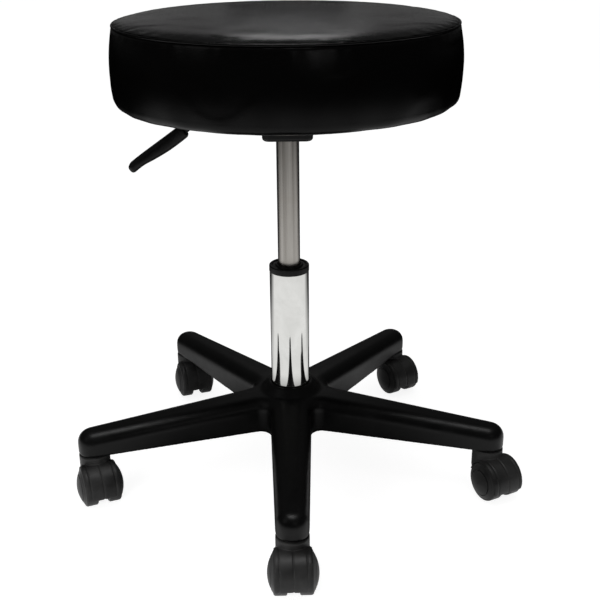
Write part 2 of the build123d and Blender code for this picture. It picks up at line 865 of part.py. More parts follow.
def seat_covers():
    """Top panel, and boxing band with its hem, on either side of the piping."""
    skin = seat_solid(0) - seat_solid(cover_thickness)
    seam_height = seat_bottom + seat_seam_height
    gap = piping_radius + small_gap
    top_panel = seat_slice(skin, seam_height + gap, seam_height + seat_crown_height)
    band = seat_slice(skin, seat_bottom, seam_height - gap)
    band = band - rod(cover_hem_inner_radius, seat_bottom, cover_thickness)
    return top_panel, band


def seat_foam():
    """Foam block, clear of the piping and of the tee nuts' flanges."""
    foam = seat_solid(cover_thickness + soft_clearance) - seat_piping(piping_radius + small_gap)
    foam = seat_slice(foam, board_top, board_top + 2 * seat_crown_height)
    for place in bolt_places():
        pocket = rod(tee_nut_radius + soft_clearance, board_top, tee_nut_flange + soft_clearance)
        foam = foam - place * pocket
    return foam


def seat_board():
    board = rod(board_radius, board_bottom, board_thickness)
    board = fillet(board.edges().sort_by(Axis.Z)[0], board_edge_radius)
    for place in bolt_places():
        board = board - place * rod(tee_nut_barrel_radius + press_clearance, board_bottom, board_thickness)
    return board


def dust_cover():
    sheet = rod(cover_hem_inner_radius - soft_clearance, plate_top, dust_cover_thickness)
    for place in bolt_places():
        hole = rod(bolt_diameter / 2 + bolt_hole_clearance, plate_top, dust_cover_thickness)
        sheet = sheet - place * hole
    return sheet


def cover_staples():
    """Staples that hold the hem to the board."""
    wire = Pos(0, 0, seat_bottom - staple_wire / 2) * Box(staple_wire, staple_length, staple_wire)
    return Compound(children=around(staple_count, cover_hem_inner_radius + staple_inset, wire))


os.makedirs("parts", exist_ok=True)

save(star_base(), "star_base")
save(hub_ring(), "hub_ring")
save(outer_tube(), "outer_tube")
save(guide_bush(), "guide_bush")

save(piston_rod(), "piston_rod")
save(piston(), "piston")
save(bearing_race(lower_race_bottom, running_clearance), "lower_bearing_race")
save(bearing_race(upper_race_bottom, press_clearance), "upper_bearing_race")
save(bearing_balls(), "bearing_balls")
save(ball_cage(), "ball_cage")
save(rubber_bumper(), "rubber_bumper")
save(tail_washer(), "tail_washer")
save(tail_clip(), "tail_clip")
save(pressure_tube(), "pressure_tube")
save(spring_end_piece(guide_bottom, guide_height), "rod_guide")
save(spring_end_piece(seal_bottom, seal_height), "rod_seal")
save(valve_body(), "valve_body")
save(release_button(), "release_button")

save(mechanism_plate(), "mechanism_plate")
save(mechanism_housing(), "mechanism_housing")
save(cone_socket(), "cone_socket")
save(lever_pin(), "lever_pin")
save(lever_rod(), "lever_rod")
save(lever_handle(), "lever_handle")
save(plate_bolts(), "plate_bolts")
save(bolt_washers(), "bolt_washers")
save(tee_nuts(), "tee_nuts")

top_panel, boxing_band = seat_covers()
save(top_panel, "seat_top_panel")
save(boxing_band, "seat_band")
save(seat_piping(piping_radius), "seat_piping")
save(seat_foam(), "seat_foam")
save(seat_board(), "seat_board")
save(dust_cover(), "dust_cover")
save(cover_staples(), "cover_staples")

hood = caster_hood()
stem = caster_stem()
axle = caster_axle()
wheels = {"left": caster_wheel(-1), "right": caster_wheel(1)}
rings = []
for name, place, heading in caster_places():
    turn = place * Rot(0, 0, heading)
    save(place * stem, name + "_caster_stem")
    save(turn * hood, name + "_caster_hood")
    save(turn * axle, name + "_caster_axle")
    for side, wheel in wheels.items():
        save(turn * wheel, name + "_caster_" + side + "_wheel")
    rings.append(turn * grip_ring())
save(Compound(children=rings), "stem_grip_rings")
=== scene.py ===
import json
import math

import bmesh
import bpy
import numpy as np
from mathutils import Matrix, Vector

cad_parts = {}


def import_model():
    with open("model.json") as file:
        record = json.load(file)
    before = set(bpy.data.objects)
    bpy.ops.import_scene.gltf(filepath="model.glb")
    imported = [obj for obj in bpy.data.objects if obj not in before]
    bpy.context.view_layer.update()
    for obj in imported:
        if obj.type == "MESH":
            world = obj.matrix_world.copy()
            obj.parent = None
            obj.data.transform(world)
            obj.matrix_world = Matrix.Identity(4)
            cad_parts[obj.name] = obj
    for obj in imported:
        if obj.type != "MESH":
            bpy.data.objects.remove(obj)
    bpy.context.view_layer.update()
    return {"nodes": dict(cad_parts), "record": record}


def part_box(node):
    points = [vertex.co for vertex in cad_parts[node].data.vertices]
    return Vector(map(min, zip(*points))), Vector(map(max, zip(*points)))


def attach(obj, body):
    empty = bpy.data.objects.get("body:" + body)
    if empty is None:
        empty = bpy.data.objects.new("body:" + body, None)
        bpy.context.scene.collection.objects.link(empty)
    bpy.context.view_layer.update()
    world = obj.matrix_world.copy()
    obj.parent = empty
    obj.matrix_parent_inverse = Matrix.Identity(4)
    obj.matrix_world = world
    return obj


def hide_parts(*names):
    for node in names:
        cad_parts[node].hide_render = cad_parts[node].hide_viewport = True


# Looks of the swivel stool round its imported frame. Metres, Z up, floor at Z = 0, front towards -Y.

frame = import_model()
scene = bpy.context.scene
nodes = frame["nodes"]

MM = 0.001
TAU = 2 * math.pi
CASTERS = ["front", "right_front", "right_rear", "left_rear", "left_front"]


# ---------------------------------------------------------------- mesh helpers


def new_object(name, verts, faces, smooth=True):
    mesh = bpy.data.meshes.new(name)
    mesh.from_pydata([tuple(v) for v in verts], [], faces)
    mesh.update()
    if smooth:
        mesh.polygons.foreach_set("use_smooth", [True] * len(mesh.polygons))
    piece = bpy.data.objects.new(name, mesh)
    scene.collection.objects.link(piece)
    return piece


def outward(piece):
    """Makes the faces of a closed mesh point outwards."""
    bm = bmesh.new()
    bm.from_mesh(piece.data)
    bmesh.ops.recalc_face_normals(bm, faces=bm.faces)
    bm.to_mesh(piece.data)
    bm.free()
    return piece


def grid_faces(rows, columns, wrap_rows=False):
    """Quads between rows of points, each row a closed loop of the given number of columns."""
    faces = []
    for i in range(rows if wrap_rows else rows - 1):
        j = (i + 1) % rows
        for k in range(columns):
            n = (k + 1) % columns
            faces.append((i * columns + k, i * columns + n, j * columns + n, j * columns + k))
    return faces


def turned(name, outline, segments):
    """A hollow solid of revolution, from its closed outline of (radius, height) points."""
    verts = []
    for radius, height in outline:
        for k in range(segments):
            a = TAU * k / segments
            verts.append((radius * math.cos(a), radius * math.sin(a), height))
    return outward(new_object(name, verts, grid_faces(len(outline), segments, wrap_rows=True)))


def rounded(points, radii, steps=6):
    """The points of a closed outline with each corner rounded. The radii are one number, or one
    for each corner, and are limited by the sides."""
    out = []
    for i, here in enumerate(points):
        radius = radii[i] if isinstance(radii, (list, tuple)) else radii
        a, p, b = Vector(points[i - 1]), Vector(here), Vector(points[(i + 1) % len(points)])
        u, v = (a - p), (b - p)
        reach = min(radius, 0.49 * u.length, 0.49 * v.length)
        if reach < 1e-7:
            out.append(tuple(here))
            continue
        start, end = p + u.normalized() * reach, p + v.normalized() * reach
        for s in range(steps + 1):
            t = s / steps
            out.append(tuple((1 - t) ** 2 * start + 2 * t * (1 - t) * p + t ** 2 * end))
    return out


def apply_modifiers(piece):
    """The piece with its modifiers worked into its mesh."""
    graph = bpy.context.evaluated_depsgraph_get()
    mesh = bpy.data.meshes.new_from_object(piece.evaluated_get(graph))
    piece.modifiers.clear()
    piece.data = mesh
    return piece


def softened(node, name, voxel, passes, body):
    """A copy of a CAD node with its edges softened like a moulding's, in place of the node."""
    piece = bpy.data.objects.new(name, nodes[node].data.copy())
    piece.data.materials.clear()
    scene.collection.objects.link(piece)
    remesh = piece.modifiers.new("remesh", "REMESH")
    remesh.mode = "VOXEL"
    remesh.voxel_size = voxel
    remesh.use_smooth_shade = True
    smooth = piece.modifiers.new("smooth", "SMOOTH")
    smooth.factor = 0.5
    smooth.iterations = passes
    apply_modifiers(piece)
    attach(piece, body)
    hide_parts(node)
    return piece


def ripple(angle, seed, orders):
    """A smooth periodic function of an angle, of about unit size, the same each run. The orders
    say how many waves go round, the strongest first."""
    rng = np.random.default_rng(seed)
    total = np.zeros_like(angle)
    size = 0.0
    for k, order in enumerate(orders):
        gain = 0.7 ** k
        total += gain * np.cos(order * angle + rng.uniform(0, TAU))
        size += gain * gain
    return total / math.sqrt(size / 2) / 2


# ---------------------------------------------------------------- material helpers


class Shader:
    """The node tree of a new material or world, written down one node a line."""

    def __init__(self, name, kind="Material"):
        blocks = bpy.data.worlds if kind == "World" else bpy.data.materials
        self.block = blocks.new(name)
        self.block.use_nodes = True
        self.tree = self.block.node_tree
        self.tree.nodes.clear()
        self.out = self.node("Output" + kind)
        self.coords = self.node("TexCoord").outputs["Object"]

    def node(self, kind, inputs=(), **settings):
        """A new node, with its settings and what goes into its inputs, by name or by number."""
        made = self.tree.nodes.new("ShaderNode" + kind)
        for key, value in settings.items():
            setattr(made, key, value)
        for key, value in dict(inputs).items():
            self.set(made.inputs[key], value)
        return made

    def set(self, socket, value):
        """Links the socket to another socket or node, or gives it a value."""
        if isinstance(value, bpy.types.NodeSocket):
            self.tree.links.new(value, socket)
        elif isinstance(value, bpy.types.Node):
            self.tree.links.new(value.outputs[0], socket)
        else:
            socket.default_value = value

    def stretched(self, scale):
        """Coordinates scaled apart, for a texture that runs one way."""
        return self.node("Mapping", {"Vector": self.coords, "Scale": scale})

    def noise(self, scale, detail=4.0, roughness=0.55, vector=None, distortion=0.0):
        inputs = {"Vector": vector or self.coords, "Scale": scale, "Detail": detail}
        inputs.update({"Roughness": roughness, "Distortion": distortion})
        return self.node("TexNoise", inputs).outputs["Fac"]

    def ramp(self, value, low, high, low_to=0.0, high_to=1.0):
        """Value brought from low..high to low_to..high_to, and held at the ends."""
        inputs = {"Value": value, "From Min": low, "From Max": high}
        inputs.update({"To Min": low_to, "To Max": high_to})
        return self.node("MapRange", inputs).outputs["Result"]

    def blend(self, amount, a, b):
        made = self.node("Mix", data_type="RGBA")
        self.set(made.inputs["Factor"], amount)
        self.set(made.inputs["A"], a)
        self.set(made.inputs["B"], b)
        return made.outputs["Result"]

    def math(self, operation, a, b=0.0):
        made = self.node("Math", operation=operation)
        self.set(made.inputs[0], a)
        self.set(made.inputs[1], b)
        return made.outputs[0]

    def bump(self, height, distance, strength=1.0, under=None):
        inputs = {"Height": height, "Distance": distance, "Strength": strength}
        made = self.node("Bump", inputs)
        if under is not None:
            self.set(made.inputs["Normal"], under)
        return made.outputs["Normal"]

    def surface(self, **inputs):
        shader = self.node("BsdfPrincipled", {k.replace("_", " "): v for k, v in inputs.items()})
        self.set(self.out.inputs["Surface"], shader)
        return self.block


def grey(value, warm=0.0):
    """A grey of a linear value, with a share of warmth."""
    return (value * (1 + warm), value, value * (1 - warm), 1.0)


def vinyl():
    """Black upholstery vinyl: fine pebbled grain, faint cloudiness in its gloss."""
    s = Shader("black_vinyl")
    cells = s.node("TexVoronoi", {"Vector": s.coords, "Scale": 950.0, "Randomness": 0.95})
    cells.feature = "SMOOTH_F1"
    cells.inputs["Smoothness"].default_value = 0.6
    pebble = s.ramp(cells.outputs["Distance"], 0.15, 0.75, 1.0, 0.0)
    wrinkle = s.noise(260.0, 5.0, 0.6)
    height = s.math("ADD", pebble, s.math("MULTIPLY", wrinkle, 0.8))
    fine = s.bump(height, 0.00010, 0.55)
    broad = s.bump(s.noise(14.0, 2.0, 0.4), 0.0016, 0.25, under=fine)
    cloud = s.noise(9.0, 3.0, 0.5)
    tone = s.blend(s.ramp(cloud, 0.3, 0.7), grey(0.0012, 0.03), grey(0.0024, 0.02))
    tone = s.blend(s.math("MULTIPLY", pebble, 0.35), grey(0.0010), tone)
    rough = s.ramp(s.math("ADD", cloud, s.math("MULTIPLY", wrinkle, 0.4)), 0.45, 0.95, 0.17, 0.225)
    return s.surface(
        Base_Color=tone, Roughness=rough, Normal=broad, Specular_IOR_Level=0.12, IOR=1.5,
    )


def moulded(name, low, high, rough_low, rough_high, specular, flow=1.0):
    """Black moulded plastic: spark texture from the mould, flow clouds and dust; on the casters and
    wheels the lighter clouds are partly painted highlights. Its tone and its roughness each go
    from a low to a high value."""
    s = Shader(name)
    spark = s.noise(1500.0, 2.0, 0.6)
    cells = s.node("TexVoronoi", {"Vector": s.coords, "Scale": 1100.0})
    height = s.math("ADD", spark, s.math("MULTIPLY", cells.outputs["Distance"], 0.7))
    normal = s.bump(height, 0.00006, 0.6)
    cloud = s.noise(18.0 * flow, 4.0, 0.55, distortion=0.4)
    dust = s.noise(75.0, 6.0, 0.7)
    tone = s.blend(s.ramp(cloud, 0.35, 0.68), grey(low, 0.01), grey(high, 0.01))
    tone = s.blend(s.ramp(dust, 0.6, 0.8, 0.0, 0.25), tone, grey(high * 2.2, 0.03))
    wear = s.math("ADD", cloud, s.math("MULTIPLY", dust, 0.5))
    rough = s.ramp(wear, 0.55, 1.0, rough_low, rough_high)
    return s.surface(
        Base_Color=tone, Roughness=rough, Normal=normal, Specular_IOR_Level=specular, IOR=1.5,
    )


def chrome():
    """Mirror chrome on drawn tube: faint lengthwise lines, wiping smears and small scratches."""
    s = Shader("mirror_chrome")
    lines = s.noise(1.0, 3.0, 0.5, vector=s.stretched((420.0, 420.0, 3.0)))
    smear = s.noise(26.0, 3.0, 0.6, distortion=0.8)
    scratch = s.noise(1.0, 2.0, 0.4, vector=s.stretched((900.0, 900.0, 60.0)))
    rough = s.ramp(smear, 0.4, 0.75, 0.025, 0.075)
    rough = s.math("ADD", rough, s.ramp(scratch, 0.68, 0.8, 0.0, 0.10))
    normal = s.bump(lines, 0.00002, 0.18)
    tone = s.blend(s.ramp(smear, 0.35, 0.7), (0.64, 0.64, 0.62, 1), (0.73, 0.73, 0.71, 1))
    return s.surface(Base_Color=tone, Metallic=1.0, Roughness=rough, Normal=normal)


def satin_steel():
    """Ground and plated spring tube: satin grey with lengthwise streaks and a brownish oil film."""
    s = Shader("satin_tube")
    streak = s.noise(1.0, 4.0, 0.6, vector=s.stretched((260.0, 260.0, 2.2)))
    fine = s.noise(1.0, 3.0, 0.6, vector=s.stretched((1300.0, 1300.0, 10.0)))
    film = s.noise(16.0, 4.0, 0.6, distortion=0.6)
    tone = s.blend(s.ramp(streak, 0.35, 0.65), (0.27, 0.255, 0.235, 1), (0.47, 0.45, 0.42, 1))
    tone = s.blend(s.ramp(film, 0.5, 0.8, 0.0, 0.55), tone, (0.31, 0.275, 0.235, 1))
    rough = s.ramp(s.math("ADD", streak, s.math("MULTIPLY", fine, 0.5)), 0.5, 1.0, 0.24, 0.38)
    normal = s.bump(fine, 0.00003, 0.35)
    return s.surface(Base_Color=tone, Metallic=1.0, Roughness=rough, Normal=normal)


def steel(name, colour, rough_low, rough_high, spots=0.0, streaks=(180.0, 180.0, 180.0)):
    """Bare or plated steel with a mottled surface, streaked one way and with a few rust spots."""
    s = Shader(name)
    mottle = s.noise(90.0, 5.0, 0.6)
    fine = s.noise(1.0, 3.0, 0.6, vector=s.stretched(streaks))
    darker = tuple(c * 0.62 for c in colour[:3]) + (1.0,)
    tone = s.blend(s.ramp(mottle, 0.4, 0.7), darker, colour)
    rust = s.ramp(s.noise(240.0, 4.0, 0.7), 0.66, 0.74, 0.0, spots)
    tone = s.blend(rust, tone, (0.12, 0.06, 0.03, 1))
    rough = s.ramp(fine, 0.3, 0.7, rough_low, rough_high)
    normal = s.bump(fine, 0.00004, 0.4)
    return s.surface(Base_Color=tone, Metallic=1.0, Roughness=rough, Normal=normal)


def painted():
    """Black powder coat on the pressed steel, with its orange peel."""
    s = Shader("black_powder_coat")
    peel = s.noise(520.0, 2.0, 0.45)
    cloud = s.noise(30.0, 4.0, 0.6)
    tone = s.blend(s.ramp(cloud, 0.35, 0.7), grey(0.003), grey(0.006))
    rough = s.ramp(cloud, 0.3, 0.7, 0.34, 0.5)
    normal = s.bump(peel, 0.00012, 0.5)
    return s.surface(Base_Color=tone, Roughness=rough, Normal=normal, Specular_IOR_Level=0.25)


def cambric():
    """Black spun-bonded dust cloth: a net of small bond points and loose fibres."""
    s = Shader("black_dust_cloth")
    net = s.node("TexVoronoi", {"Vector": s.coords, "Scale": 620.0, "Randomness": 0.25})
    fibre = s.noise(1.0, 4.0, 0.7, vector=s.stretched((900.0, 300.0, 600.0)), distortion=1.2)
    points = s.ramp(net.outputs["Distance"], 0.12, 0.4)
    tone = s.blend(points, grey(0.006), grey(0.017))
    tone = s.blend(s.ramp(fibre, 0.55, 0.8, 0.0, 0.6), tone, grey(0.035))
    return s.surface(
        Base_Color=tone,
        Roughness=0.9,
        Normal=s.bump(s.math("ADD", points, fibre), 0.00015, 0.7),
        Sheen_Weight=0.25,
        Sheen_Roughness=0.5,
        Specular_IOR_Level=0.2,
    )


def rubber():
    """Black rubber with a faint bloom."""
    s = Shader("black_rubber")
    cloud = s.noise(120.0, 4.0, 0.6)
    tone = s.blend(s.ramp(cloud, 0.35, 0.7), grey(0.010), grey(0.022))
    rough = s.ramp(cloud, 0.3, 0.7, 0.6, 0.8)
    return s.surface(Base_Color=tone, Roughness=rough, Normal=s.bump(cloud, 0.0001, 0.4))


def plywood():
    """Birch plywood: long grain on the faces, plies along the edge."""
    s = Shader("birch_plywood")
    grain = s.noise(1.0, 5.0, 0.6, vector=s.stretched((12.0, 160.0, 160.0)), distortion=0.6)
    plies = s.noise(1.0, 1.0, 0.5, vector=s.stretched((2.0, 2.0, 480.0)))
    tone = s.blend(s.ramp(grain, 0.3, 0.7), (0.42, 0.27, 0.14, 1), (0.62, 0.45, 0.27, 1))
    tone = s.blend(s.ramp(plies, 0.45, 0.55, 0.0, 0.35), tone, (0.28, 0.16, 0.08, 1))
    return s.surface(Base_Color=tone, Roughness=s.ramp(grain, 0.3, 0.7, 0.55, 0.75))


def foam():
    """Yellowish open-cell foam."""
    s = Shader("seat_foam")
    cells = s.node("TexVoronoi", {"Vector": s.coords, "Scale": 700.0})
    tone = s.blend(s.noise(40.0), (0.62, 0.55, 0.38, 1), (0.72, 0.66, 0.5, 1))
    normal = s.bump(cells.outputs["Distance"], 0.0003)
    return s.surface(Base_Color=tone, Roughness=0.95, Normal=normal)


VINYL = vinyl()
BASE = moulded("black_base_nylon", 0.0012, 0.0022, 0.30, 0.40, specular=0.2)
# Caster and wheel nylon: the wide tone range gives lighter clouds that are partly flow clouds and
# partly painted highlights.
CASTER = moulded("black_caster_nylon", 0.009, 0.032, 0.38, 0.52, specular=0.25, flow=1.4)
WHEEL = moulded("black_wheel_nylon", 0.008, 0.026, 0.38, 0.52, specular=0.25, flow=1.4)
BUSH = moulded("black_bush_plastic", 0.003, 0.006, 0.38, 0.5, specular=0.2)
GRIP = moulded("black_grip_plastic", 0.0015, 0.003, 0.32, 0.44, specular=0.22)
CHROME = chrome()
SATIN = satin_steel()
ROD = steel("ground_rod", (0.62, 0.62, 0.61, 1), 0.12, 0.2, streaks=(900.0, 900.0, 12.0))
SPRING = steel("spring_steel", (0.34, 0.33, 0.32, 1), 0.25, 0.4)
ZINC = steel("zinc_steel", (0.58, 0.57, 0.53, 1), 0.28, 0.45, spots=0.5)
BLACKED = steel("blacked_steel", (0.035, 0.035, 0.036, 1), 0.32, 0.5)
PAINT = painted()
BRASS = steel("brass", (0.62, 0.45, 0.2, 1), 0.2, 0.35)
RUBBER = rubber()
CLOTH = cambric()
WOOD = plywood()
FOAM = foam()

FINISHES = {
    "cover_vinyl": VINYL,
    "base_nylon": BASE,
    "caster_nylon": CASTER,
    "wheel_nylon": WHEEL,
    "bush_plastic": BUSH,
    "handle_plastic": GRIP,
    "column_chrome": CHROME,
    "rod_chrome": SATIN,
    "spring_steel": SPRING,
    "zinc_steel": ZINC,
    "lever_steel": BLACKED,
    "mechanism_paint": PAINT,
    "brass": BRASS,
    "rubber": RUBBER,
    "foam": FOAM,
    "dust_cloth": CLOTH,
    "plywood": WOOD,
}


def dress(piece, material):
    """Gives a piece its material."""
    piece.data.materials.clear()
    piece.data.materials.append(material)
    return piece


# ---------------------------------------------------------------- seat

SEAT_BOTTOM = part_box("seat_band")[0].z
SEAM_HEIGHT = (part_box("seat_piping")[0].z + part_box("seat_piping")[1].z) / 2
SEAM_RADIUS = 199.6 * MM
GROOVE_RADIUS = 196.6 * MM      # at the bottom of the seam's groove
CROWN = SEAT_BOTTOM + 97.4 * MM
SHOULDER = (150.0 * MM, SEAT_BOTTOM + 96.0 * MM)    # radius and height, as for the next two
WIDEST = (205.4 * MM, SEAT_BOTTOM + 40.0 * MM)
FOOT = (203.6 * MM, SEAT_BOTTOM + 11.0 * MM)
HEM_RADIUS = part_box("dust_cover")[1].x + 0.3 * MM
BOARD_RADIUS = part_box("seat_board")[1].x
BOARD_BOTTOM, BOARD_TOP = (corner.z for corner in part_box("seat_board"))
WELT_RADIUS = 1.5 * MM
WELT_TUCK = 3.4 * MM            # its middle, inside the CAD bead's outermost point
STAPLES = 28
STAPLE_RADIUS = HEM_RADIUS + 6.0 * MM


def arc(a, b, c, count):
    """Points from a through b to c along their circle, both ends among them."""
    (ax, ay), (bx, by), (cx, cy) = a, b, c
    d = 2 * (ax * (by - cy) + bx * (cy - ay) + cx * (ay - by))
    a2, b2, c2 = ax * ax + ay * ay, bx * bx + by * by, cx * cx + cy * cy
    ux = (a2 * (by - cy) + b2 * (cy - ay) + c2 * (ay - by)) / d
    uy = (a2 * (cx - bx) + b2 * (ax - cx) + c2 * (bx - ax)) / d
    radius = math.hypot(ax - ux, ay - uy)
    first, last = math.atan2(ay - uy, ax - ux), math.atan2(cy - uy, cx - ux)
    last = first + math.remainder(last - first, TAU)
    turns = np.linspace(first, last, count)
    return [(ux + radius * math.cos(t), uy + radius * math.sin(t)) for t in turns]


def seat_profile(top_rows, shoulder_rows, side_rows, corner_rows, hem_rows):
    """The cover from the middle of its top to the hem's inner edge, as (radius, height) rows,
    and the row that lies at the bottom of the seam's groove. The top is a shallow dome, and past
    its shoulder it falls ever steeper to the seam, without a crease."""
    lip = SEAM_RADIUS - 1.0 * MM        # outer edge of the top panel
    mouth, throat = 1.5 * MM, 0.7 * MM  # half heights of the groove
    dome = CROWN - SHOULDER[1]
    rows = []
    for r in np.linspace(0.002, SHOULDER[0], top_rows):
        rows.append((r, CROWN - dome * (r / SHOULDER[0]) ** 2))
    span = lip - SHOULDER[0]
    even = 2 * dome / SHOULDER[0] * span
    steeper = SHOULDER[1] - even - (SEAM_HEIGHT + mouth)
    for share in np.linspace(0, 1, shoulder_rows + 1)[1:] ** 0.8:
        fall = even * share + steeper * share ** 4
        rows.append((SHOULDER[0] + span * share, SHOULDER[1] - fall))
    rows.append((lip - 1.0 * MM, SEAM_HEIGHT + throat))
    groove = len(rows)
    rows.append((GROOVE_RADIUS, SEAM_HEIGHT))
    rows.append((lip - 0.8 * MM, SEAM_HEIGHT - throat))
    rows.append((lip + 0.3 * MM, SEAM_HEIGHT - mouth))
    side = arc((SEAM_RADIUS, SEAM_HEIGHT), WIDEST, FOOT, side_rows + 2)
    rows += [p for p in side[1:-1] if p[1] < SEAM_HEIGHT - 2.4 * MM]
    edge = FOOT[1] - SEAT_BOTTOM
    for turn in np.linspace(0, math.pi / 2, corner_rows):
        rows.append((FOOT[0] - edge + edge * math.cos(turn), FOOT[1] - edge * math.sin(turn)))
    for r in np.linspace(FOOT[0] - edge, HEM_RADIUS, hem_rows + 1)[1:]:
        rows.append((r, SEAT_BOTTOM))
    return np.array(rows), groove


def run_lengths(rows):
    """The way along a profile to each of its rows."""
    steps = np.hypot(*np.diff(rows, axis=0).T)
    return np.concatenate([[0.0], np.cumsum(steps)])


def round_mesh(rows, columns):
    """Points in space from a (radius, height) for each row and column."""
    turns = np.arange(columns) * TAU / columns
    x = rows[:, :, 0] * np.cos(turns)
    y = rows[:, :, 0] * np.sin(turns)
    return np.stack([x, y, rows[:, :, 1]], axis=2).reshape(-1, 3)


def tension_field():
    """Cloth simulation of the cover under the foam's pressure, held at its seam and hem. Gives
    the way along the profile to each row, and how far the cloth leaves a true round shape, as
    (radial, height) for each row and column. Only its broad waves are kept."""
    columns, frames = 240, 20
    finest_order = 13.0
    limit = 0.22 * MM
    rows, groove = seat_profile(28, 12, 18, 4, 4)
    start = np.repeat(rows[:, None, :], columns, axis=1)
    rng = np.random.default_rng(7)
    jolt = rng.normal(0, 0.25 * MM, start.shape)
    held = (rows[:, 1] < SEAT_BOTTOM + 0.5 * MM) | (np.arange(len(rows)) == groove)
    jolt[held] = 0
    points = round_mesh(start + jolt, columns)
    cover = new_object("tension_study", points, grid_faces(len(rows), columns))
    group = cover.vertex_groups.new(name="held")
    pinned = np.repeat(held, columns)
    group.add(np.flatnonzero(pinned).tolist(), 1.0, "REPLACE")
    cloth = cover.modifiers.new("cloth", "CLOTH")
    settings = cloth.settings
    settings.quality = 5
    settings.mass = 0.25
    settings.tension_stiffness = 22
    settings.compression_stiffness = 22
    settings.shear_stiffness = 9
    settings.bending_stiffness = 3.5
    settings.vertex_group_mass = "held"
    settings.use_pressure = True
    settings.uniform_pressure_force = 3.5
    settings.shrink_min = -0.018
    settings.effector_weights.gravity = 0
    cloth.collision_settings.use_collision = False
    for step in range(1, frames + 1):
        scene.frame_set(step)
    moved = cover.evaluated_get(bpy.context.evaluated_depsgraph_get())
    co = np.empty(len(moved.data.vertices) * 3)
    moved.data.vertices.foreach_get("co", co)
    bpy.data.objects.remove(cover)
    scene.frame_set(1)
    co = co.reshape(len(rows), columns, 3)
    out = np.stack([np.hypot(co[:, :, 0], co[:, :, 1]), co[:, :, 2]], axis=2)
    field = out - out.mean(axis=1, keepdims=True)
    waves = np.fft.rfft(field, axis=1)
    order = np.arange(waves.shape[1])
    waves *= np.exp(-((order / finest_order) ** 4))[None, :, None]
    field = np.fft.irfft(waves, columns, axis=1)
    taper = np.hanning(9)[1:-1]
    lead = len(taper) // 2
    padded = np.pad(field, ((lead, lead), (0, 0), (0, 0)), mode="edge")
    field = sum(w * padded[k:k + len(rows)] for k, w in enumerate(taper)) / taper.sum()
    field *= (np.clip(rows[:, 0] / SEAM_RADIUS, 0, 1) ** 3)[:, None, None]
    return run_lengths(rows), limit * np.tanh(field / limit)


def spread_field(lengths, field, rows, columns):
    """The simulated field, read at other rows and columns."""
    old = np.arange(field.shape[1] + 1) * TAU / field.shape[1]
    new = np.arange(columns) * TAU / columns
    wrapped = np.concatenate([field, field[:, :1]], axis=1)
    by_column = np.empty((field.shape[0], columns, 2))
    for i in range(field.shape[0]):
        for axis in (0, 1):
            by_column[i, :, axis] = np.interp(new, old, wrapped[i, :, axis])
    at = run_lengths(rows) * lengths[-1] / run_lengths(rows)[-1]
    result = np.empty((len(rows), columns, 2))
    for k in range(columns):
        for axis in (0, 1):
            result[:, k, axis] = np.interp(at, lengths, by_column[:, k, axis])
    return result


def angle_from(turns, place):
    """Angles measured from a place on the circle, from minus half a turn to half a turn."""
    return np.angle(np.exp(1j * (turns - place)))


def hem_folds(turns):
    """Small folds of the gathered hem, each with one gentle and one steep side, up to 1 high."""
    count, steep = 52, 0.003
    rng = np.random.default_rng(21)
    folds = np.zeros(len(turns))
    for place in np.arange(count) * TAU / count + rng.uniform(-0.035, 0.035, count):
        away = angle_from(turns, place) * rng.choice([-1, 1])
        gentle = rng.uniform(0.010, 0.018)
        lift = np.exp(-np.clip(away, 0, None) / gentle) * np.exp(-np.clip(-away, 0, None) / steep)
        folds = np.maximum(folds, rng.uniform(0.5, 1.0) * lift)
    return folds


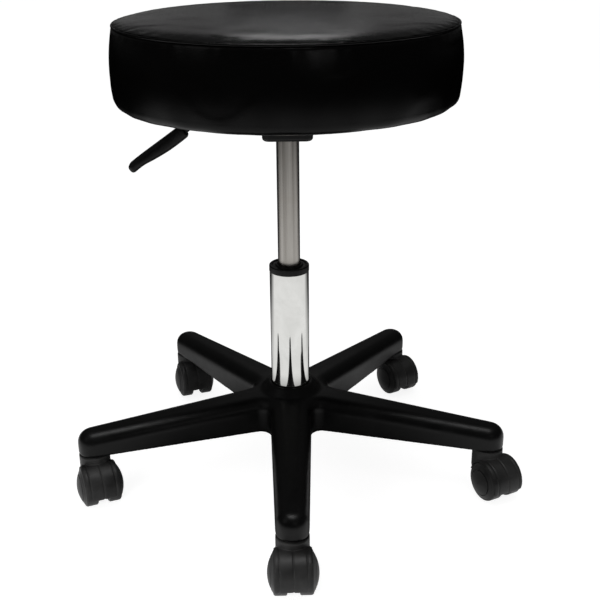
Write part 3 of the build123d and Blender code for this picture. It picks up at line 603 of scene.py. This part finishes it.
def seat_cushion():
    """Upholstered cushion: crowned top, side band joined at the back, and a hem under the board."""
    columns = 720
    gather_depth, gather_fade, gather_start = 0.40 * MM, 9.0 * MM, 1.5 * MM
    top_gather_depth, top_gather_reach = 0.28 * MM, 12 * MM
    staple_depth, staple_fade, slack_depth = 0.9 * MM, 16.0 * MM, 0.7 * MM
    fold_depth = 0.65 * MM
    join_depth, join_width = 1.1 * MM, 1.1 * MM

    profile, groove = seat_profile(56, 30, 44, 10, 10)
    rows = np.repeat(profile[:, None, :], columns, axis=1)
    turns = np.arange(columns) * TAU / columns
    lengths, field = tension_field()
    rows += spread_field(lengths, field, profile, columns)
    radius, height = profile[:, 0][:, None], profile[:, 1][:, None]
    band = (np.arange(len(profile)) > groove)[:, None]
    below_seam = np.clip(SEAM_HEIGHT - height, 0, None)
    above_bottom = np.clip(height - SEAT_BOTTOM, 0, None)

    gather = ripple(turns, 11, [61, 74, 88, 53, 97])[None, :]
    near_seam = np.exp(-below_seam / gather_fade) * (1 - np.exp(-below_seam / gather_start))
    rows[:, :, 0] += gather_depth * gather * np.where(band, near_seam, 0.0)
    gather = ripple(turns, 12, [47, 59, 71, 83])[None, :]
    near_seam = np.exp(-((SEAM_RADIUS - radius) / top_gather_reach) ** 2)
    rows[:, :, 1] += top_gather_depth * gather * np.where(~band, near_seam, 0.0)

    low = np.where(band, np.exp(-above_bottom / staple_fade), 0.0)
    uneven = 0.9 * ripple(turns, 13, [3, 5, 8, 13])
    staple_pull = 0.5 + 0.5 * np.cos(STAPLES * turns + uneven)[None, :]
    rows[:, :, 0] -= staple_depth * staple_pull * low
    rows[:, :, 0] += slack_depth * ripple(turns, 14, [7, 11, 17, 23])[None, :] * low

    under = np.where(band & (radius < FOOT[0]) & (height < FOOT[1]), 1.0, 0.0)
    inward = np.clip((FOOT[0] - radius) / (FOOT[0] - HEM_RADIUS), 0, 1) ** 1.2
    rows[:, :, 1] -= fold_depth * hem_folds(turns)[None, :] * under * inward

    join = np.exp(-((angle_from(turns, math.pi / 2) * SEAM_RADIUS / join_width) ** 2))[None, :]
    rows[:, :, 0] -= np.where(band & (above_bottom > 0.5 * MM), join_depth, 0.0) * join

    board_gap = 0.3 * MM
    lining = [
        (HEM_RADIUS, SEAT_BOTTOM + 1.1 * MM),
        (BOARD_RADIUS + board_gap, BOARD_BOTTOM - 0.05 * MM),
        (BOARD_RADIUS + board_gap, BOARD_TOP + 0.2 * MM),
        (0.05, BOARD_TOP + 1.8 * MM),
    ]
    inside = np.repeat(np.array(lining)[:, None, :], columns, axis=1)
    rows = np.concatenate([rows, inside])
    verts = round_mesh(rows, columns)
    faces = grid_faces(len(rows), columns)
    top, ceiling = len(verts), len(verts) + 1
    verts = np.concatenate([verts, [[0, 0, CROWN], [0, 0, lining[-1][1]]]])
    last = (len(rows) - 1) * columns
    for k in range(columns):
        n = (k + 1) % columns
        faces.append((top, k, n))
        faces.append((last + k, last + n, ceiling))
    cushion = outward(new_object("seat_cushion", verts, faces))
    dress(cushion, VINYL)
    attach(cushion, "seat")
    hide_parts("seat_top_panel", "seat_band", "seat_foam")
    return cushion


def seat_welt():
    """Piping cord wrapped in vinyl, with the small waists that its stitches pull in."""
    columns, around, stitch_count = 1440, 14, 300
    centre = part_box("seat_piping")[1].x - WELT_TUCK
    turns = np.arange(columns) * TAU / columns
    wave = ripple(turns, 31, [9, 14, 22, 35])
    stitches = 0.5 + 0.5 * np.cos(turns * stitch_count)
    thick = WELT_RADIUS * (1 + 0.035 * ripple(turns, 32, [40, 57, 75]) - 0.035 * stitches)
    verts = []
    for k, turn in enumerate(turns):
        middle = centre + 0.12 * MM * wave[k]
        height = SEAM_HEIGHT + 0.15 * MM * wave[(k * 7) % columns]
        for n in range(around):
            a = TAU * n / around
            r = middle + thick[k] * math.cos(a)
            verts.append((r * math.cos(turn), r * math.sin(turn), height + thick[k] * math.sin(a)))
    welt = outward(new_object("seat_welt", verts, grid_faces(columns, around, wrap_rows=True)))
    dress(welt, VINYL)
    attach(welt, "seat")
    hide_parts("seat_piping")
    return welt


def seat_dust_cover():
    """Dust cloth under the board, drawn tight with a few shallow folds towards its edge."""
    columns = 360
    fold_depth, sag_depth, edge_wander = 0.45 * MM, 0.25 * MM, 0.35 * MM
    low, high = (corner.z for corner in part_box("dust_cover"))
    turns = np.arange(columns) * TAU / columns
    inner_radii = np.linspace(0.004, 0.150, 26)
    outer_radii = np.linspace(0.1535, HEM_RADIUS - 0.3 * MM, 10)
    radii = np.concatenate([inner_radii, outer_radii])
    folds = 0.5 + 0.5 * ripple(turns, 41, [19, 28, 37, 46])
    sag = 1 + ripple(turns, 42, [2, 3, 5, 7])
    edge = edge_wander * ripple(turns, 43, [33, 51, 77, 120])
    lower, upper = [], []
    for r in radii:
        share = r / radii[-1]
        fall = fold_depth * folds * share ** 3 + sag_depth * sag * (1 - share ** 2)
        radius = r + edge * share ** 8
        x, y = radius * np.cos(turns), radius * np.sin(turns)
        lower.append(np.stack([x, y, low - fall], axis=1))
        upper.append(np.stack([x, y, high - 0.05 * MM - 0.55 * fall], axis=1))
    verts = np.concatenate(lower + upper[::-1])
    rows = 2 * len(radii)
    faces = grid_faces(rows, columns)
    below, above = len(verts), len(verts) + 1
    middles = [verts[:columns].mean(axis=0), verts[-columns:].mean(axis=0)]
    verts = np.concatenate([verts, middles])
    last = (rows - 1) * columns
    for k in range(columns):
        n = (k + 1) % columns
        faces.append((below, k, n))
        faces.append((above, last + k, last + n))
    sheet = outward(new_object("seat_dust_cover", verts, faces))
    dress(sheet, CLOTH)
    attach(sheet, "seat")
    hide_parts("dust_cover")
    return sheet


def staple_row():
    """Wire staples round the hem, each slightly askew, with their shoulders bent into the board."""
    rng = np.random.default_rng(51)
    half, wire, tall = 5.5 * MM, 1.0 * MM, 0.55 * MM
    path = [(-half, 2.2 * MM), (-half, 0.4 * MM)]
    path += [(-half + 0.5 * MM, 0.0), (-half + 1.1 * MM, -0.15 * MM)]
    path += [(-x, z) for x, z in reversed(path)]
    verts, faces = [], []
    for k in range(STAPLES):
        radius = STAPLE_RADIUS + rng.uniform(-0.6, 0.6) * MM
        askew = rng.uniform(-0.10, 0.10)
        place = (
            Matrix.Rotation(TAU * k / STAPLES, 4, "Z")
            @ Matrix.Translation((radius, 0, SEAT_BOTTOM - 0.35 * MM))
            @ Matrix.Rotation(math.pi / 2 + askew, 4, "Z")
        )
        base = len(verts)
        for i, (x, z) in enumerate(path):
            before, after = path[max(i - 1, 0)], path[min(i + 1, len(path) - 1)]
            along = Vector((after[0] - before[0], after[1] - before[1])).normalized()
            across = Vector((-along.y, along.x)) * tall / 2
            for dx, dy in ((1, 1), (1, -1), (-1, -1), (-1, 1)):
                point = Vector((x + across.x * dx, wire / 2 * dy, z + across.y * dx))
                verts.append(place @ point)
        count = len(path)
        for i in range(count - 1):
            for n in range(4):
                a, b = base + 4 * i + n, base + 4 * i + (n + 1) % 4
                faces.append((a, b, b + 4, a + 4))
        faces.append(tuple(base + n for n in range(4)))
        faces.append(tuple(base + 4 * (count - 1) + n for n in (3, 2, 1, 0)))
    row = outward(new_object("hem_staples", verts, faces, smooth=False))
    dress(row, ZINC)
    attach(row, "seat")
    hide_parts("cover_staples")
    return row


# ---------------------------------------------------------------- column and spring


def column_tube():
    """Chromed column: tapered where it sits in the hub, with a floor that has a hole."""
    taper, wall, hole = math.radians(1.1), 1.8 * MM, 7 * MM
    low, high = (corner.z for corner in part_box("outer_tube"))
    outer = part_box("outer_tube")[1].x
    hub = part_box("star_base")[1].z + 2 * MM
    foot = outer - (hub - low) * math.tan(taper)
    floor_top = low + 3 * MM
    outline = [
        (hole, low),
        (foot, low),
        (outer, hub),
        (outer, high),
        (outer - wall, high),
        (outer - wall, hub),
        (foot - wall, floor_top),
        (hole, floor_top),
    ]
    radii = [0.3 * MM, 2 * MM, 3 * MM, 0.6 * MM, 0.5 * MM, 0.3 * MM, 0.3 * MM, 0.3 * MM]
    tube = turned("column_tube", rounded(outline, radii), 256)
    dress(tube, CHROME)
    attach(tube, "base")
    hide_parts("outer_tube")
    return tube


def column_collar():
    """Bush with its cap: rounded rim, shallow ring recess and a wiper lip round the spring tube."""
    recess_depth, pocket_inner, pocket_outer, pocket_depth = 1.3 * MM, 17 * MM, 20.5 * MM, 60 * MM
    low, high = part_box("guide_bush")
    rim, top, bottom = high.x, high.z, low.z
    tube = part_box("outer_tube")[1]
    seat = tube.z + 0.02 * MM
    sleeve = tube.x - 1.85 * MM
    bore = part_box("pressure_tube")[1].x + 0.12 * MM
    outline = [
        (rim, seat),
        (rim, top),
        (rim - 3.4 * MM, top),
        (rim - 4.2 * MM, top - recess_depth),
        (bore + 3.4 * MM, top - recess_depth),
        (bore + 2.8 * MM, top + 0.5 * MM),
        (bore + 1.0 * MM, top + 0.8 * MM),
        (bore, top - 0.6 * MM),
        (bore, bottom),
        (pocket_inner, bottom),
        (pocket_inner, bottom + pocket_depth),
        (pocket_outer, bottom + pocket_depth),
        (pocket_outer, bottom),
        (sleeve, bottom),
        (sleeve, seat),
    ]
    radii = [0.4, 2.0, 0.8, 0.5, 0.6, 0.6, 0.5, 0.5, 0.4, 0.4, 0.4, 0.4, 0.4, 0.4, 0.2]
    collar = turned("column_collar", rounded(outline, [r * MM for r in radii]), 192)
    dress(collar, BUSH)
    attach(collar, "base")
    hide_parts("guide_bush")
    return collar


def spring_tube():
    """Pressure tube of the gas spring: rolled lip below, tapered where it sits in its socket."""
    taper, wall, lip = math.radians(0.74), 1.5 * MM, 1.5 * MM
    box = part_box("pressure_tube")
    outer, low, high = box[1].x, box[0].z, box[1].z
    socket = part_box("mechanism_housing")[0].z
    tip = outer - (high - socket) * math.tan(taper)
    inner = outer - wall
    outline = [
        (inner - lip, low),
        (outer, low),
        (outer, socket),
        (tip, high),
        (tip - wall, high),
        (inner, socket),
        (inner, low + lip),
        (inner - lip, low + lip),
    ]
    radii = [0.3, 1.2, 2.0, 0.4, 0.3, 1.0, 0.3, 0.3]
    tube = turned("spring_tube", rounded(outline, [r * MM for r in radii]), 192)
    dress(tube, SATIN)
    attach(tube, "seat")
    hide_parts("pressure_tube")
    return tube


# ---------------------------------------------------------------- lever

GRIP_SLOPE = math.radians(34.7)
GRIP_START = Vector((-0.1227, 0.0, 0.45463))
GRIP_LENGTH = 84.0      # in millimetres, as is the rest of the grip's own shape


def smooth_values(at, places, values):
    """A smooth curve through (places, values), read at the given places."""
    places, values = np.asarray(places, float), np.asarray(values, float)
    slopes = np.gradient(values, places)
    i = np.clip(np.searchsorted(places, at, side="right") - 1, 0, len(places) - 2)
    width = places[i + 1] - places[i]
    t = (at - places[i]) / width
    a, b = values[i], values[i + 1]
    return (
        (2 * t**3 - 3 * t**2 + 1) * a
        + (t**3 - 2 * t**2 + t) * width * slopes[i]
        + (3 * t**2 - 2 * t**3) * b
        + (t**3 - t**2) * width * slopes[i + 1]
    )


def lever_grip():
    """Moulded paddle: square at its root, waisted underneath and wide at its tip."""
    root_round, tip_round, seam_height = 3.0, 6.0, 0.12
    columns, squareness = 48, 2 / 3.4
    quarter = math.pi / 2
    along = np.concatenate([
        root_round * (1 - np.cos(np.linspace(0, quarter, 7))),
        np.linspace(root_round + 1.5, GRIP_LENGTH - tip_round - 1.5, 42),
        GRIP_LENGTH - tip_round * (1 - np.sin(np.linspace(0, quarter, 12))),
    ])
    top = smooth_values(along, [0, 14, 40, 61, 84], [8.4, 8.0, 7.6, 7.2, 6.2])
    low = smooth_values(along, [0, 6, 33, 50, 66, 84], [-8.0, -8.4, -8.6, -7.1, -5.1, -6.1])
    half = smooth_values(along, [0, 20, 45, 70, 84], [8.4, 8.7, 10.4, 12.3, 11.6])
    root = np.sqrt(1 - (1 - np.clip(along / root_round, 0, 1)) ** 2)
    tip = np.sqrt(1 - (1 - np.clip((GRIP_LENGTH - along) / tip_round, 0, 1)) ** 2)
    narrow = (0.65 + 0.35 * root) * (0.30 + 0.70 * tip)
    flat = (0.65 + 0.35 * root) * (0.25 + 0.75 * tip)
    out = Vector((-math.cos(GRIP_SLOPE), 0, -math.sin(GRIP_SLOPE)))
    up = Vector((-math.sin(GRIP_SLOPE), 0, math.cos(GRIP_SLOPE)))
    verts = []
    for i, s in enumerate(along):
        middle, tall = (top[i] + low[i]) / 2, (top[i] - low[i]) / 2
        for k in range(columns):
            a = TAU * k / columns
            c, d = math.cos(a), math.sin(a)
            across = math.copysign(abs(c) ** squareness, c) * half[i] * narrow[i]
            across += math.copysign(seam_height * math.exp(-((d * 6) ** 2)), c)
            above = middle + math.copysign(abs(d) ** squareness, d) * tall * flat[i]
            verts.append(GRIP_START + (out * s + up * above + Vector((0, across, 0))) * MM)
    faces = grid_faces(len(along), columns)
    faces.append(tuple(range(columns)))
    faces.append(tuple((len(along) - 1) * columns + k for k in range(columns)))
    grip = outward(new_object("lever_grip", verts, faces))
    dress(grip, GRIP)
    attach(grip, "lever")
    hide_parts("lever_handle")
    return grip


# ---------------------------------------------------------------- mechanism


def housing_weld():
    """A fillet weld round the housing, under the plate, with the ripples of its puddle."""
    bead, corner_radius, step, ripple_pitch = 1.9 * MM, 9 * MM, 0.8 * MM, 3.8 * MM
    low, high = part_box("mechanism_housing")
    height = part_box("mechanism_plate")[0].z - 0.3 * MM
    corners = [(high.x, high.y), (low.x, high.y), (low.x, low.y), (high.x, low.y)]
    points = [Vector(c) for c in rounded(corners, corner_radius, 10)]
    path = []
    for i, here in enumerate(points):
        after = points[(i + 1) % len(points)]
        steps = max(1, int((after - here).length / step))
        path += [here.lerp(after, s / steps) for s in range(steps)]
    count, around = len(path), 8
    verts = []
    travelled = 0.0
    for i, here in enumerate(path):
        before, after = path[i - 1], path[(i + 1) % count]
        travelled += (here - before).length
        side = (after - before).normalized()
        away = Vector((side.y, -side.x))
        puddle = 0.10 * math.cos(travelled / ripple_pitch * TAU) + 0.06 * math.sin(travelled * 190)
        for n in range(around):
            a = TAU * n / around
            point = here + away * bead * (1 + puddle) * math.cos(a)
            verts.append((point.x, point.y, height + bead * (1 + puddle) * math.sin(a)))
    weld = outward(new_object("housing_weld", verts, grid_faces(count, around, wrap_rows=True)))
    dress(weld, PAINT)
    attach(weld, "seat")
    return weld


def bolt_heads():
    """Flanged hex heads with a chamfered face, one below each corner of the plate."""
    flats, chamfer, flange, flange_height, shank = 5.0 * MM, 0.7 * MM, 6.1 * MM, 0.7 * MM, 3.0 * MM
    around = 24
    low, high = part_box("plate_bolts")
    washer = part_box("bolt_washers")
    reach = washer[1].x - 6.5 * MM
    seat = washer[0].z
    turns = [TAU * k / around for k in range(around)]
    hexagon = [flats / math.cos((a % (TAU / 6)) - TAU / 12) for a in turns]
    outline = [
        ([0.84 * flats] * around, low.z),
        (hexagon, low.z + chamfer),
        (hexagon, seat - flange_height - 0.2 * MM),
        ([flange] * around, seat - flange_height),
        ([flange] * around, seat),
        ([shank] * around, seat),
        ([shank] * around, high.z),
    ]
    verts, faces = [], []
    for x in (-reach, reach):
        for y in (-reach, reach):
            first, spin = len(verts), (x + 2 * y) * 7
            for radii, z in outline:
                for a, r in zip(turns, radii):
                    verts.append((x + r * math.cos(a + spin), y + r * math.sin(a + spin), z))
            faces += [tuple(first + v for v in face) for face in grid_faces(len(outline), around)]
            faces.append(tuple(range(first, first + around)))
            faces.append(tuple(range(len(verts) - around, len(verts))))
    screws = outward(new_object("plate_screws", verts, faces, smooth=False))
    dress(screws, ZINC)
    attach(screws, "seat")
    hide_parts("plate_bolts")
    return screws


# ---------------------------------------------------------------- build

slots = {row["node"]: row["material_slot"] for row in frame["record"]["subparts"]}
for node, piece in nodes.items():
    piece.data.materials.clear()
    piece.data.materials.append(FINISHES[slots[node]])
nodes["piston_rod"].data.materials[0] = ROD

seat_cushion()
seat_welt()
seat_dust_cover()
staple_row()
column_tube()
column_collar()
spring_tube()
lever_grip()
housing_weld()
bolt_heads()
dress(softened("star_base", "base_moulding", 1.3 * MM, 10, "base"), BASE)
for name in CASTERS:
    hood = softened(name + "_caster_hood", name + "_caster_fender", 0.55 * MM, 8, name + "_caster")
    dress(hood, CASTER)


# ---------------------------------------------------------------- studio


def floor():
    """Pale floor. The camera sees it white, with the stool's shadow; metal and plastic see a white
    sheet round the stool, with dark beyond it and a painted shadow of the stool under the hub."""
    half = 12.0
    corners = [(-half, -half, 0), (half, -half, 0), (half, half, 0), (-half, half, 0)]
    plane = new_object("floor", corners, [(0, 1, 2, 3)])
    s = Shader("studio_floor")
    path = s.node("LightPath")
    position = s.node("NewGeometry").outputs["Position"]
    away = s.node("VectorMath", operation="LENGTH")
    s.set(away.inputs[0], position)
    apart = s.node("SeparateXYZ", {"Vector": position})
    front_end = s.ramp(away.outputs["Value"], 1.1, 2.0, 1.0, 0.02)
    back_end = s.ramp(apart.outputs["Y"], 0.10, 0.50, 1.0, 0.04)
    # Painted shadow: the sheet that reflections see is darkened under the hub, where the stool's
    # shadow falls.
    painted_stool_shadow = s.ramp(away.outputs["Value"], 0.19, 0.30, 0.05, 1.0)
    sheet = s.math("MULTIPLY", s.math("MULTIPLY", front_end, back_end), painted_stool_shadow)
    paper = s.node("BsdfDiffuse", {"Color": (0.82, 0.82, 0.82, 1)})
    mirror = s.node("Emission", {"Color": (1, 1, 1, 1), "Strength": sheet})
    shade = s.node("BsdfDiffuse", {"Color": (0.45, 0.45, 0.45, 1)})
    glow = s.node("Emission", {"Color": (1, 1, 1, 1), "Strength": 0.87})
    seen = s.node("AddShader", {0: shade, 1: glow})
    glossy = s.node("MixShader", {"Fac": path.outputs["Is Glossy Ray"], 1: paper, 2: mirror})
    final = s.node("MixShader", {"Fac": path.outputs["Is Camera Ray"], 1: glossy, 2: seen})
    s.set(s.out.inputs["Surface"], final)
    plane.data.materials.append(s.block)


def world():
    """White for the camera. For the light it gives, soft grey; in reflections, dark at the level of
    the horizon and lighter overhead."""
    s = Shader("studio", "World")
    scene.world = s.block
    path = s.node("LightPath")
    parts = s.node("SeparateXYZ", {"Vector": s.node("TexCoord").outputs["Generated"]})
    rise = s.ramp(parts.outputs["Z"], 0.2, 0.9, 0.035, 0.12)
    fill = s.node("Background", {"Color": (1, 1, 1, 1), "Strength": 0.32})
    mirrored = s.node("Background", {"Color": (1, 1, 1, 1), "Strength": rise})
    seen = s.node("Background", {"Color": (1, 1, 1, 1), "Strength": 1.0})
    glossy = s.node("MixShader", {"Fac": path.outputs["Is Glossy Ray"], 1: fill, 2: mirrored})
    final = s.node("MixShader", {"Fac": path.outputs["Is Camera Ray"], 1: glossy, 2: seen})
    s.set(s.out.inputs["Surface"], final)


def softbox(name, place, target, width, height, radiance, rays="both", spread=180):
    """Area lamp. It can be limited to diffuse light or to reflections, and to a narrow beam. Its
    energy falls with the beam's width, so that the radiance stays."""
    lamp = bpy.data.lights.new(name, "AREA")
    lamp.shape = "RECTANGLE"
    lamp.size, lamp.size_y = width, height
    half = math.radians(spread / 2)
    lamp.spread = 2 * half
    lamp.energy = radiance * math.pi * width * height * (1 - half / math.tan(half))
    made = bpy.data.objects.new(name, lamp)
    scene.collection.objects.link(made)
    made.location = place
    made.rotation_euler = (Vector(target) - Vector(place)).to_track_quat("-Z", "Y").to_euler()
    made.visible_camera = False
    made.visible_diffuse = rays != "glossy"
    made.visible_glossy = rays != "diffuse"
    return made


def camera():
    """Camera in front of the stool, looking down on it."""
    lens = bpy.data.cameras.new("camera")
    lens.sensor_width = 36.0
    lens.lens = 59.88
    lens.clip_start = 0.05
    made = bpy.data.objects.new("camera", lens)
    scene.collection.objects.link(made)
    pitch, pan, roll = math.radians(22.29), 0.0113, -0.0081
    turn = Matrix.Rotation(-pan, 4, "Z")
    turn @= Matrix.Rotation(math.pi / 2 - pitch, 4, "X")
    turn @= Matrix.Rotation(roll, 4, "Z")
    made.matrix_world = Matrix.Translation((0.0, -1.1879, 0.7190)) @ turn
    scene.camera = made


scene.view_settings.view_transform = "Standard"
floor()
world()
softbox("overhead", (-0.05, -0.2, 1.9), (0, 0, 0.1), 1.2, 1.0, 2.0)
softbox("left", (-1.7, -1.0, 1.5), (0, 0, 0.3), 0.9, 1.2, 0.5)
softbox("low_left", (-0.45, -0.85, 0.30), (-0.12, -0.25, 0.03), 0.3, 0.3, 11.0, rays="diffuse")
softbox("top_sheen", (-0.05, -0.22, 1.88), (0, 0, 0.1), 0.9, 0.55, 4.5, rays="glossy")
softbox("right_sheen", (0.65, -1.85, 1.07), (0, 0, 0.1), 0.5, 0.3, 1.5, rays="glossy")
softbox("behind", (0.03, 3.0, 1.68), (0, -0.12, 0.587), 0.58, 0.5, 2.0, rays="glossy", spread=26)
softbox("behind_left", (-0.56, 3.0, 0.90), (0, 0, 0.587), 0.64, 0.6, 0.24, rays="glossy", spread=28)
softbox("behind_right", (0.55, 3.0, 0.90), (0, 0, 0.587), 0.60, 0.6, 0.20, rays="glossy", spread=28)
camera()
